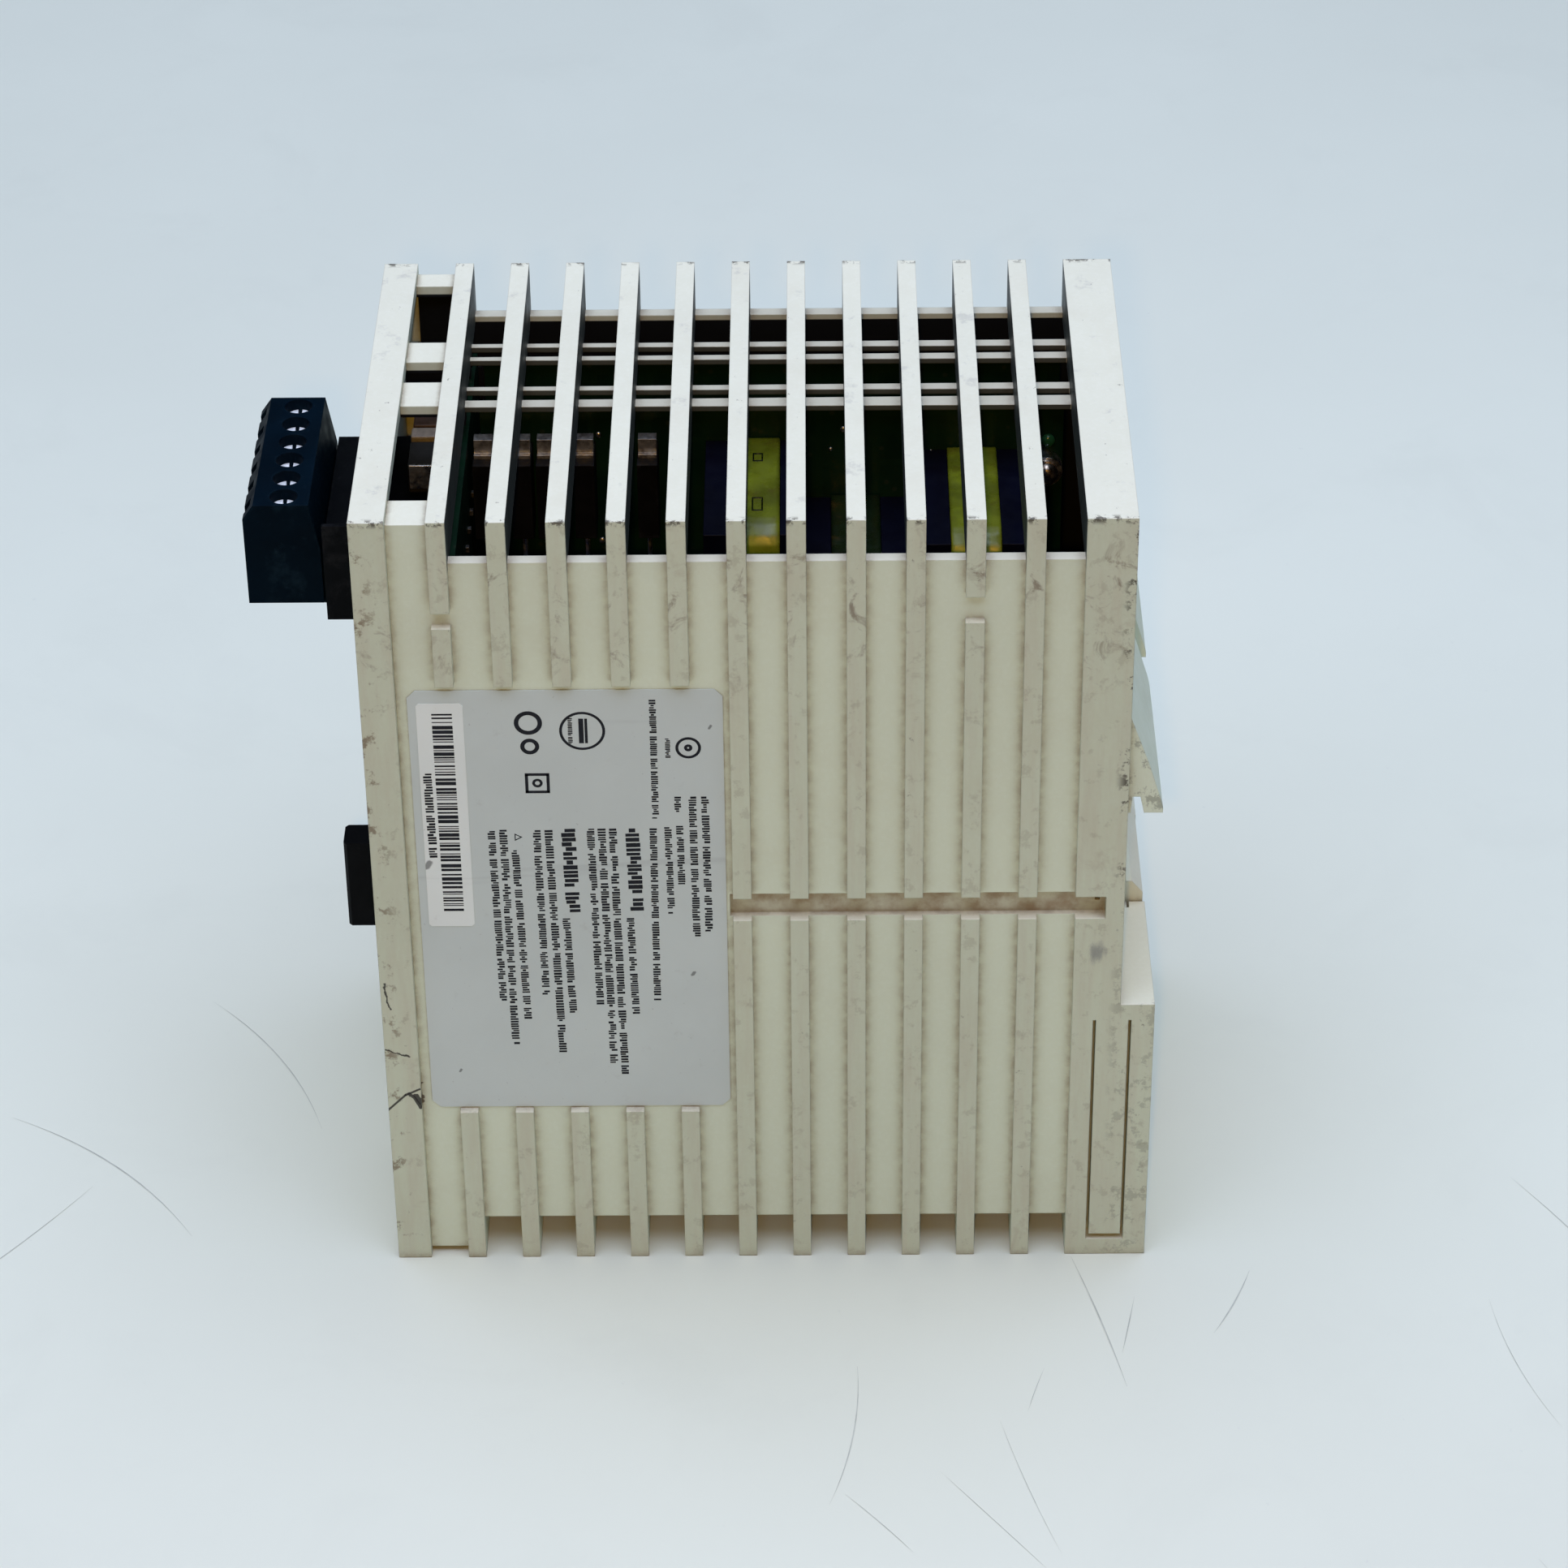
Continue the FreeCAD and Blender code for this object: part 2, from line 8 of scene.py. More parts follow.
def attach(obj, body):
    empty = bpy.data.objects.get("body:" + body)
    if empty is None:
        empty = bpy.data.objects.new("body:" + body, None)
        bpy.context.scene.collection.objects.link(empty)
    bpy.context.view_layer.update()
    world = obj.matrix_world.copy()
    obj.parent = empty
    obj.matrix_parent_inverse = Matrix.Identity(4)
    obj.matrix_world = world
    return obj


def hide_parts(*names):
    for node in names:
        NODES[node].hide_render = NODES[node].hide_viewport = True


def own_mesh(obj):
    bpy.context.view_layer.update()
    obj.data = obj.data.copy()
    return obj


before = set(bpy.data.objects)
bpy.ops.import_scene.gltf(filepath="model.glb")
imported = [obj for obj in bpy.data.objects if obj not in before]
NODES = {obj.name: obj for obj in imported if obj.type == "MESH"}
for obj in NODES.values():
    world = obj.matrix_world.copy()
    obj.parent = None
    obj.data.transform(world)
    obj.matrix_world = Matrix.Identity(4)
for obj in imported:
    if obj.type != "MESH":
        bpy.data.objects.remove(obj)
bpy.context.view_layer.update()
S = bpy.context.scene
MM = 0.001
YO = 48.05          # depth of the origin behind the cover's face, in mm


def P(x, y, z):
    """A point in the row frame from x, depth behind the cover's face, and height, all in mm."""
    return Vector((x * MM, (y - YO) * MM, z * MM))


# ------------------------------------------------------------------ shader kit
class Mat:
    """A node material: each call adds a node and returns its output."""

    def __init__(self, name):
        self.m = bpy.data.materials.new(name)
        self.m.use_nodes = True
        self.t = self.m.node_tree
        self.t.nodes.clear()
        self.out = self.t.nodes.new("ShaderNodeOutputMaterial")
        self.b = self.t.nodes.new("ShaderNodeBsdfPrincipled")
        self.t.links.new(self.b.outputs[0], self.out.inputs[0])
        self._co = None

    def link(self, a, b):
        if isinstance(a, (int, float)):
            b.default_value = a
        elif isinstance(a, (tuple, list)):
            v = list(a)
            if b.type == "RGBA" and len(v) == 3:
                v.append(1.0)
            b.default_value = v
        else:
            self.t.links.new(a, b)

    def node(self, kind, ins=None, out=0, **props):
        n = self.t.nodes.new(kind)
        for k, v in props.items():
            setattr(n, k, v)
        for k, v in (ins or {}).items():
            self.link(v, n.inputs[k])
        return n.outputs[out]

    def co(self):
        if self._co is None:
            self._co = self.node("ShaderNodeTexCoord", out="Object")
        return self._co

    def sep(self, v=None):
        n = self.t.nodes.new("ShaderNodeSeparateXYZ")
        self.link(v if v is not None else self.co(), n.inputs[0])
        return n.outputs[0], n.outputs[1], n.outputs[2]

    def mapping(self, loc=(0, 0, 0), rot=(0, 0, 0), scale=(1, 1, 1), v=None):
        return self.node("ShaderNodeMapping", {"Vector": v or self.co(), "Location": loc,
                                               "Rotation": rot, "Scale": scale})

    def noise(self, scale, detail=4.0, rough=0.55, v=None, distort=0.0, out=0):
        return self.node("ShaderNodeTexNoise", {"Vector": v or self.co(), "Scale": scale,
                                                "Detail": detail, "Roughness": rough,
                                                "Distortion": distort}, out=out)

    def voronoi(self, scale, v=None, feature="F1", out=0, **kw):
        return self.node("ShaderNodeTexVoronoi", {"Vector": v or self.co(), "Scale": scale},
                         out=out, feature=feature, **kw)

    def ramp(self, fac, a, b, lo=0.0, hi=1.0, smooth=True):
        """Map range, clamped: a..b goes to lo..hi."""
        n = self.t.nodes.new("ShaderNodeMapRange")
        n.interpolation_type = "SMOOTHSTEP" if smooth else "LINEAR"
        n.clamp = True
        self.link(fac, n.inputs[0])
        for i, v in enumerate((a, b, lo, hi)):
            self.link(v, n.inputs[i + 1])
        return n.outputs[0]

    def math(self, op, a, b=0.0, c=0.0, clamp=False):
        n = self.t.nodes.new("ShaderNodeMath")
        n.operation = op
        n.use_clamp = clamp
        for i, v in enumerate((a, b, c)):
            self.link(v, n.inputs[i])
        return n.outputs[0]

    def vmath(self, op, a, b=(0, 0, 0), out=0):
        n = self.t.nodes.new("ShaderNodeVectorMath")
        n.operation = op
        self.link(a, n.inputs[0])
        self.link(b, n.inputs[1])
        return n.outputs[out]

    def mul(self, *a):
        r = a[0]
        for v in a[1:]:
            r = self.math("MULTIPLY", r, v)
        return r

    def add(self, *a):
        r = a[0]
        for v in a[1:]:
            r = self.math("ADD", r, v)
        return r

    def maxi(self, *a):
        r = a[0]
        for v in a[1:]:
            r = self.math("MAXIMUM", r, v)
        return r

    def mix(self, fac, a, b, blend="MIX"):
        n = self.t.nodes.new("ShaderNodeMix")
        n.data_type = "RGBA"
        n.blend_type = blend
        n.clamp_factor = True
        self.link(fac, n.inputs[0])
        self.link(a, n.inputs[6])
        self.link(b, n.inputs[7])
        return n.outputs[2]

    def ao(self, dist, samples=4, inside=False):
        return self.node("ShaderNodeAmbientOcclusion", {"Distance": dist}, out=1,
                         samples=samples, inside=inside)

    def bump(self, height, dist, strength=1.0, normal=None):
        ins = {"Height": height, "Distance": dist, "Strength": strength}
        if normal is not None:
            ins["Normal"] = normal
        return self.node("ShaderNodeBump", ins)

    def set(self, color=None, rough=None, normal=None, **sockets):
        if color is not None:
            self.link(color, self.b.inputs["Base Color"])
        if rough is not None:
            self.link(rough, self.b.inputs["Roughness"])
        if normal is not None:
            self.link(normal, self.b.inputs["Normal"])
        for k, v in sockets.items():
            self.b.inputs[k.replace("_", " ")].default_value = v
        return self.m


def lin(r, g, b):
    def f(c):
        c /= 255.0
        return c / 12.92 if c <= 0.04045 else ((c + 0.055) / 1.055) ** 2.4
    return (f(r), f(g), f(b))


def put(obj, mat):
    obj.data.materials.clear()
    obj.data.materials.append(mat)
    for p in obj.data.polygons:
        p.material_index = 0


def seg_dist(m, u, v, p, q):
    """Distance in mm from the point (u, v) to the segment p-q."""
    ex_, ey_ = q[0] - p[0], q[1] - p[1]
    l2 = ex_ * ex_ + ey_ * ey_
    du, dv = m.math("SUBTRACT", u, p[0]), m.math("SUBTRACT", v, p[1])
    t = m.math("DIVIDE", m.add(m.mul(du, ex_), m.mul(dv, ey_)), l2, clamp=True)
    a_ = m.math("SUBTRACT", du, m.mul(t, ex_))
    b_ = m.math("SUBTRACT", dv, m.mul(t, ey_))
    return m.math("SQRT", m.add(m.mul(a_, a_), m.mul(b_, b_)))


def band(m, v, lo, hi, s=0.1):
    return m.mul(m.ramp(v, lo - s, lo + s), m.ramp(v, hi - s, hi + s, 1.0, 0.0))


def soft_edges(m, radius):
    """Normals rounded over the edges, as on a moulded or stamped part."""
    return m.node("ShaderNodeBevel", {"Radius": radius}, samples=6)


# ------------------------------------------------------------------ materials
# painted shade: the tint that cools the upright faces against the tops
UPRIGHT_PAINTED_SHADE = (0.90, 1.0, 1.0)


def case_plastic(name, base, placed=True):
    m = Mat(name)
    x, y, z = m.sep()
    X, Y, Z = m.mul(x, 1000.0), m.add(m.mul(y, 1000.0), YO), m.mul(z, 1000.0)
    aX = m.math("ABSOLUTE", X)
    big = m.noise(11.0, 4.0)
    mid_n = m.noise(70.0, 5.0, 0.6)
    grain = m.noise(1500.0, 3.0, 0.6)
    col = m.mix(m.ramp(big, 0.3, 0.7), tuple(c * 0.955 for c in base), tuple(min(1, c * 1.03) for c in base))
    col = m.mix(m.mul(m.ramp(mid_n, 0.45, 0.75), 0.14), col, (0.60, 0.50, 0.36))
    col = m.mix(m.mul(m.ramp(grain, 0.42, 0.7), 0.10), col, (0.95, 0.93, 0.82))
    if placed:
        rib = m.ramp(aX, 36.6, 36.9)
        side = m.ramp(aX, 34.5, 34.9)
        g = m.t.nodes.new("ShaderNodeNewGeometry")
        nx, ny, nz = m.sep(g.outputs["Normal"])
        # painted shade: the upright faces take a cooler tint than the tops, and the outer ribs' upright faces are
        # darkened further, for the way the light falls on them
        up_face = m.ramp(m.math("ABSOLUTE", nz), 0.4, 0.8, 1.0, 0.0)
        col = m.mix(up_face, col, m.mix(1.0, col, UPRIGHT_PAINTED_SHADE + (1.0,), blend="MULTIPLY"))
        streak = m.noise(420.0, 4.0, 0.6, v=m.mapping(scale=(1, 1, 0.12)))
        col = m.mix(m.mul(rib, up_face), col, m.mix(1.0, col, (0.87, 0.865, 0.84, 1.0), blend="MULTIPLY"))
        # streaks of dirt down the outer ribs' upright faces
        col = m.mix(m.mul(rib, up_face, m.ramp(streak, 0.35, 0.75, 0.05, 0.30)), col, (0.50, 0.41, 0.31))
        # rubbed dirt in blots on the sides
        blot = m.noise(150.0, 5.0, 0.68, distort=0.6)
        col = m.mix(m.mul(rib, m.ramp(blot, 0.58, 0.74), 0.30), col, (0.36, 0.28, 0.20))
        # smudges near the tops of the ribs
        near_top = m.mul(m.ramp(Z, 96.0, 116.0), m.ramp(Z, 122.5, 129.0, 1.0, 0.35))
        sm = m.noise(230.0, 6.0, 0.7, distort=0.8, v=m.mapping(loc=(0.3, 0.1, 0.2)))
        col = m.mix(m.mul(rib, near_top, m.ramp(sm, 0.54, 0.70), 0.72), col, (0.19, 0.13, 0.09))
        sm2 = m.noise(420.0, 6.0, 0.75, v=m.mapping(loc=(0.7, 0.1, 0.5)))
        col = m.mix(m.mul(rib, m.ramp(sm2, 0.66, 0.73), 0.6), col, (0.10, 0.075, 0.05))
        # chipped and blackened corners along the top and rear edges
        edge = m.mul(m.ramp(Z, 129.9, 130.8), m.ramp(aX, 35.6, 36.8))
        chip = m.noise(520.0, 5.0, 0.7, v=m.mapping(loc=(0.2, 0.9, 0.4)))
        col = m.mix(m.mul(edge, m.ramp(chip, 0.50, 0.58), 0.85), col, (0.05, 0.036, 0.025))
        redge = m.mul(m.ramp(Y, 106.2, 108.0), m.ramp(aX, 35.2, 36.8))
        rc = m.noise(330.0, 6.0, 0.72, v=m.mapping(loc=(0.5, 0.3, 0.8)))
        col = m.mix(m.mul(redge, m.ramp(rc, 0.53, 0.60), m.ramp(Z, 55.0, 80.0, 0.25, 0.85)), col,
                    (0.045, 0.032, 0.024))
        fedge = m.mul(m.ramp(Y, 0.3, 4.2, 1.0, 0.25), m.ramp(aX, 36.0, 36.9))
        fc = m.noise(300.0, 6.0, 0.7, v=m.mapping(loc=(0.1, 0.6, 0.1)))
        col = m.mix(m.mul(fedge, m.ramp(fc, 0.55, 0.64), 0.8), col, (0.20, 0.14, 0.085))
        # scuffs on the flat tops
        top = m.ramp(Z, 130.7, 130.9)
        tn = m.noise(170.0, 6.0, 0.7, v=m.mapping(loc=(0.4, 0.2, 0.9)))
        col = m.mix(m.mul(top, m.ramp(tn, 0.58, 0.70), 0.38), col, (0.42, 0.40, 0.36))
        tn2 = m.noise(620.0, 5.0, 0.7, v=m.mapping(loc=(0.1, 0.5, 0.3)))
        col = m.mix(m.mul(top, m.ramp(tn2, 0.67, 0.72), 0.6), col, (0.16, 0.13, 0.10))
        # dirt packed in the long groove
        gr = m.mul(band(m, Z, 63.25, 67.05, 0.12), band(m, Y, 51.5, 105.6, 0.3),
                   m.ramp(aX, 36.6, 36.9, 1.0, 0.0), side, m.ramp(X, 0.0, 1.0))
        gn = m.noise(260.0, 5.0, 0.6)
        col = m.mix(m.mul(gr, m.ramp(gn, 0.3, 0.7, 0.35, 0.95)), col, (0.34, 0.25, 0.15))
        # grey rub mark on the rear block
        a_ = m.mul(m.math("SUBTRACT", Y, 104.6), 0.62)
        b_ = m.mul(m.math("SUBTRACT", Z, 57.0), 0.34)
        r_ = m.math("SQRT", m.add(m.mul(a_, a_), m.mul(b_, b_)))
        rn = m.noise(380.0, 6.0, 0.8, v=m.mapping(rot=(0.6, 0, 0), scale=(1, 1, 0.35)))
        col = m.mix(m.mul(m.ramp(m.add(r_, m.mul(rn, 1.9)), 1.25, 1.9, 1.0, 0.0), side, m.ramp(X, 0.0, 1.0), 0.62), col,
                    (0.18, 0.18, 0.19))
        # hairline cracks and a broken-out corner at the cover's lower part
        wob = m.mul(m.math("SUBTRACT", m.noise(420.0, 3.0), 0.5), 1.6)
        Yw, Zw = m.add(Y, wob), m.add(Z, wob)
        for p_, q_, w_ in (((0.0, 28.7), (2.6, 31.4), 0.10), ((2.6, 31.4), (4.9, 32.6), 0.12),
                           ((3.2, 31.6), (4.9, 29.2), 0.26), ((4.2, 31.2), (4.95, 30.2), 0.45),
                           ((0.5, 52.0), (1.4, 47.5), 0.06), ((0.2, 40.0), (3.6, 38.6), 0.05)):
            d_ = seg_dist(m, Yw, Zw, p_, q_)
            col = m.mix(m.mul(m.ramp(d_, w_, w_ + 0.14, 0.92, 0.0), side, m.ramp(X, 0.0, 1.0)), col,
                        (0.022, 0.017, 0.014))
    # painted shade with some grime: darker brown in the corners and crevices by ambient occlusion, broken up by noise
    ao = m.ao(0.0022, 5)
    an = m.noise(500.0, 4.0, 0.6)
    if placed:
        an = m.mul(an, m.ramp(m.mul(m.ramp(Y, 102.5, 103.5), m.ramp(Z, 47.0, 49.0, 1.0, 0.0)), 0.0, 1.0, 1.0, 0.45))
    col = m.mix(m.mul(m.ramp(ao, 0.50, 0.86, 1.0, 0.0), m.ramp(an, 0.3, 0.7, 0.25, 0.75)), col,
                (0.27, 0.20, 0.13))
    rough = m.ramp(m.noise(240.0, 4.0), 0.3, 0.7, 0.42, 0.60)
    nrm = soft_edges(m, 0.00022)
    nrm = m.bump(m.noise(60.0, 2.0), 0.0003, 0.10, nrm)
    nrm = m.bump(m.noise(2600.0, 3.0, 0.6), 0.00003, 0.30, nrm)
    if placed:
        # painted shade: the inside of the case and the facing sides of the fins are painted near black for the shade
        # there
        inx = m.ramp(aX, 34.2, 34.5, 1.0, 0.0)
        cav = m.mul(inx, band(m, Z, 7.0, 122.85, 0.08), band(m, Y, 9.0, 106.9, 0.2))
        cavf = m.mul(inx, band(m, Z, 2.7, 128.6, 0.1), band(m, Y, 2.5, 10.68, 0.05))
        inner = m.maxi(cav, cavf)
        face_y = m.ramp(m.math("ABSOLUTE", ny), 0.6, 0.9)
        fins = m.mul(face_y, band(m, Y, 10.64, 101.4, 0.02), m.ramp(aX, 36.4, 36.95, 1.0, 0.0),
                     m.ramp(Z, 122.0, 123.2))
        col = m.mix(m.mul(fins, 0.95), col, (0.014, 0.020, 0.020))
        # painted shade on the guide rails' upright sides as well
        face_x = m.ramp(m.math("ABSOLUTE", nx), 0.5, 0.8)
        rails = m.mul(face_x, m.ramp(aX, 33.0, 33.4, 1.0, 0.0), band(m, Z, 122.7, 123.75, 0.04),
                      band(m, Y, 10.7, 101.2, 0.05))
        col = m.mix(m.mul(rails, 0.88), col, (0.010, 0.012, 0.012))
        # the near-black colour of this painted shade, a little mottled
        painted_interior_shade = m.mix(m.ramp(m.noise(300.0, 4.0), 0.3, 0.7), (0.0012, 0.0018, 0.0026), (0.0024, 0.0034, 0.0044))
        col = m.mix(inner, col, painted_interior_shade)
        rough = m.maxi(rough, m.mul(inner, 0.9))
    return m.set(col, rough, nrm, Specular_IOR_Level=0.28)


def dark_plastic(name, base, worn, spec=0.16, scale=1.0, rough=0.42):
    m = Mat(name)
    n = m.noise(90.0 * scale, 4.0)
    col = m.mix(m.ramp(n, 0.3, 0.7), tuple(c * 0.8 for c in base), tuple(c * 1.25 for c in base))
    dust = m.noise(700.0 * scale, 6.0, 0.75)
    col = m.mix(m.mul(m.ramp(dust, 0.60, 0.74), 0.55), col, worn)
    ao = m.ao(0.0012, 4, inside=True)
    edge = m.mul(m.ramp(ao, 0.35, 0.75, 1.0, 0.0), m.ramp(m.noise(350.0, 5.0, 0.7), 0.45, 0.65))
    col = m.mix(m.mul(edge, 0.45), col, worn)
    r = m.ramp(m.noise(330.0 * scale, 5.0), 0.3, 0.7, rough * 0.85, rough * 1.3)
    nrm = soft_edges(m, 0.0002)
    nrm = m.bump(m.noise(2200.0, 3.0, 0.6), 0.00003, 0.35, nrm)
    return m.set(col, r, nrm, Specular_IOR_Level=spec)


def metal(name, base, dull, rough=0.28, metallic=1.0):
    m = Mat(name)
    n = m.noise(800.0, 5.0, 0.65)
    col = m.mix(m.ramp(n, 0.35, 0.75), base, dull)
    spot = m.noise(1700.0, 4.0, 0.7)
    col = m.mix(m.mul(m.ramp(spot, 0.60, 0.72), 0.6), col, tuple(c * 0.35 for c in dull))
    r = m.ramp(m.noise(1100.0, 5.0), 0.3, 0.75, rough * 0.8, rough * 1.6)
    m.b.inputs["Metallic"].default_value = metallic
    brushed = m.noise(3000.0, 2.0, 0.5, v=m.mapping(scale=(1, 0.1, 1)))
    nrm = soft_edges(m, 0.00012)
    nrm = m.bump(brushed, 0.00002, 0.35, nrm)
    return m.set(col, r, nrm)


def board_green(name, edge_z=None):
    m = Mat(name)
    x, y, z = m.sep()
    n = m.noise(120.0, 4.0)
    col = m.mix(m.ramp(n, 0.3, 0.7), (0.0018, 0.0140, 0.0070), (0.004, 0.026, 0.0120))
    # copper runs under the mask
    run = m.node("ShaderNodeTexBrick", {"Vector": m.mapping(rot=(0.0, math.radians(90), 0.0)), "Scale": 60.0,
                                        "Mortar Size": 0.03, "Color1": (0.0, 0.0, 0.0, 1),
                                        "Color2": (0.35, 0.35, 0.35, 1), "Mortar": (1.0, 1.0, 1.0, 1)})
    col = m.mix(m.mul(run, 0.40), col, (0.006, 0.028, 0.010))
    pad = m.voronoi(330.0)
    col = m.mix(m.ramp(pad, 0.10, 0.16, 0.35, 0.0), col, (0.04, 0.045, 0.03))
    # the main board's pale top edge: bare fibreglass, made lighter as well as a painted highlight where it catches the
    # light
    if edge_z is not None:
        e = m.ramp(m.mul(z, 1000.0), edge_z - 0.25, edge_z - 0.1)
        en = m.noise(900.0, 5.0, 0.7)
        col = m.mix(e, col, m.mix(m.ramp(en, 0.4, 0.62), (0.05, 0.06, 0.03), (0.55, 0.50, 0.36)))
    r = m.ramp(m.noise(260.0, 4.0), 0.3, 0.7, 0.30, 0.5)
    return m.set(col, r, m.bump(m.noise(700.0, 3.0), 0.00004, 0.3, soft_edges(m, 0.0001)),
                 Specular_IOR_Level=0.2)


def tape(name, base):
    """Glossy wrapped tape: overlapping turns, a little stained."""
    m = Mat(name)
    x, y, z = m.sep()
    n = m.noise(130.0, 5.0, 0.6)
    col = m.mix(m.ramp(n, 0.3, 0.7), tuple(c * 0.6 for c in base), tuple(c * 1.3 for c in base))
    turn = m.node("ShaderNodeTexWave", {"Vector": m.mapping(scale=(1.0, 1.0, 1.0)), "Scale": 55.0,
                                        "Distortion": 1.2, "Detail": 2.0, "Detail Scale": 2.0},
                  out=1, bands_direction="Y")
    col = m.mix(m.mul(m.ramp(turn, 0.0, 0.25, 1.0, 0.0), 0.5), col, tuple(c * 0.35 for c in base))
    brown = m.noise(210.0, 4.0, 0.65)
    col = m.mix(m.mul(m.ramp(brown, 0.52, 0.72), 0.45), col, (0.10, 0.055, 0.012))
    r = m.ramp(m.noise(500.0, 3.0), 0.3, 0.7, 0.22, 0.38)
    nrm = m.bump(turn, 0.0002, 0.35, soft_edges(m, 0.0009))
    return m.set(col, r, m.bump(m.noise(180.0, 3.0), 0.0004, 0.35, nrm), Specular_IOR_Level=0.5)


def printed(name, base, rough=0.35, spots=()):
    """Label stock: faint mottling, creases, rubbed and stained here and there."""
    m = Mat(name)
    x, y, z = m.sep()
    Y, Z = m.add(m.mul(y, 1000.0), YO), m.mul(z, 1000.0)
    n = m.noise(45.0, 5.0, 0.6)
    col = m.mix(m.ramp(n, 0.3, 0.7), tuple(c * 0.955 for c in base), tuple(min(1, c * 1.035) for c in base))
    st = m.noise(260.0, 6.0, 0.7)
    col = m.mix(m.mul(m.ramp(st, 0.60, 0.74), 0.24), col, (0.38, 0.37, 0.34))
    dots = m.noise(1500.0, 3.0, 0.6)
    col = m.mix(m.mul(m.ramp(dots, 0.70, 0.76), 0.35), col, (0.16, 0.15, 0.14))
    scr = m.noise(160.0, 4.0, 0.6, v=m.mapping(rot=(0.5, 0, 0), scale=(1, 0.06, 1)))
    col = m.mix(m.mul(m.ramp(scr, 0.66, 0.72), 0.20), col, (0.30, 0.30, 0.30))
    wob = m.mul(m.math("SUBTRACT", m.noise(900.0, 3.0), 0.5), 0.7)
    for (sy, sz, ra) in spots:
        d = seg_dist(m, m.add(Y, wob), m.add(Z, wob), (sy, sz), (sy + ra * 0.6, sz + ra * 1.1))
        col = m.mix(m.ramp(d, ra * 0.35, ra * 0.8, 0.8, 0.0), col, (0.045, 0.04, 0.04))
    # darker along the rim
    rim = m.ramp(m.ao(0.0006, 4, inside=True), 0.3, 0.8, 1.0, 0.0)
    col = m.mix(m.mul(rim, 0.25), col, tuple(c * 0.6 for c in base))
    r = m.ramp(m.noise(180.0, 4.0), 0.3, 0.7, rough * 0.85, rough * 1.25)
    nrm = m.bump(m.noise(38.0, 3.0), 0.0006, 0.12)
    return m.set(col, r, m.bump(m.noise(1900.0, 2.0), 0.00002, 0.2, nrm), Specular_IOR_Level=0.35)


def plain(name, color, rough=0.5, metallic=0.0, var=0.12, scale=300.0, bump=0.2, **kw):
    m = Mat(name)
    n = m.noise(scale, 4.0)
    c = m.mix(m.ramp(n, 0.3, 0.7), tuple(v * (1 - var) for v in color), tuple(min(1, v * (1 + var)) for v in color))
    s = m.noise(scale * 3.1, 5.0, 0.7)
    c = m.mix(m.mul(m.ramp(s, 0.58, 0.74), 0.35), c, tuple(v * 0.5 for v in color))
    r = m.ramp(m.noise(scale * 1.7, 3.0), 0.3, 0.7, rough * 0.85, min(1, rough * 1.2))
    m.b.inputs["Metallic"].default_value = metallic
    return m.set(c, r, m.bump(m.noise(scale * 6, 2.0), 0.00003, bump, soft_edges(m, 0.00018)), **kw)


BASE = (0.80, 0.770, 0.60)
CASE = case_plastic("case_plastic", BASE)
CASE_LOOSE = case_plastic("latch_plastic", BASE, placed=False)
BLACK = dark_plastic("black_plastic", (0.0020, 0.0026, 0.0036), (0.020, 0.020, 0.022), 0.05)
PLUG = dark_plastic("plug_plastic", (0.0006, 0.0044, 0.0092), (0.008, 0.020, 0.030), 0.025)
KEY = dark_plastic("key_plastic", (0.0022, 0.0024, 0.0032), (0.03, 0.03, 0.03), 0.06)
EPOXY = dark_plastic("epoxy_black", (0.004, 0.004, 0.0045), (0.03, 0.03, 0.03), 0.15, 1.6, 0.5)
FERRITE = dark_plastic("ferrite", (0.0022, 0.0030, 0.012), (0.010, 0.014, 0.040), 0.12, 1.3, 0.38)
CAN = dark_plastic("capacitor_sleeve", (0.006, 0.010, 0.024), (0.05, 0.05, 0.06), 0.4, 1.0, 0.3)
STEEL = metal("plated_steel", (0.74, 0.75, 0.75), (0.52, 0.52, 0.50), 0.30)
SCREW = metal("screw_zinc", (0.95, 0.96, 0.97), (0.80, 0.81, 0.82), 0.5, 0.35)
LUG = metal("lug_tin", (0.50, 0.49, 0.46), (0.16, 0.15, 0.14), 0.38, 0.85)
# painted shade: the tinned header pins get a darkened metal colour for the shade they sit in
PIN_TIN_SHADED = metal("pin_tin_painted_shade", (0.20, 0.20, 0.19), (0.10, 0.10, 0.10), 0.45)
BRASS = metal("contact_brass", (0.66, 0.47, 0.20), (0.40, 0.26, 0.10), 0.32)
COPPER = metal("wound_copper", (0.46, 0.20, 0.08), (0.28, 0.10, 0.04), 0.35)
TAPE = tape("winding_tape", (0.20, 0.25, 0.014))
# a darkened copy of the tape colour: painted shade for the middle winding, which lies deeper in shade, and for the tape
# flaps' outlines
TAPE_SHADED = tape("winding_tape_painted_shade", (0.008, 0.020, 0.005))
GREEN = board_green("board_mask")
GREEN_MAIN = board_green("board_mask_main", 122.2)
LABEL = printed("label_film", (0.675, 0.735, 0.70), 0.36,
                ((49.0, 96.2, 0.34), (45.8, 52.7, 0.40), (10.9, 35.0, 0.3)))
PAPER = printed("sticker_paper", (0.92, 0.965, 0.92), 0.55, ((7.9, 72.4, 0.7),))
INK = plain("printed_ink", (0.008, 0.009, 0.014), 0.5, var=0.3, scale=900.0, Specular_IOR_Level=0.2)
LENS = plain("light_pipe", (0.55, 0.60, 0.55), 0.15, var=0.05, Transmission_Weight=0.6, IOR=1.49)
LED = plain("led_lens", (0.10, 0.35, 0.08), 0.2, var=0.1)
CREAM = plain("film_case", (0.50, 0.46, 0.36), 0.4)
GLASS = plain("fuse_body", (0.55, 0.53, 0.47), 0.2)
TRIM = plain("trimmer_blue", (0.02, 0.06, 0.22), 0.35)
ROTOR = plain("trimmer_white", (0.66, 0.66, 0.60), 0.4)

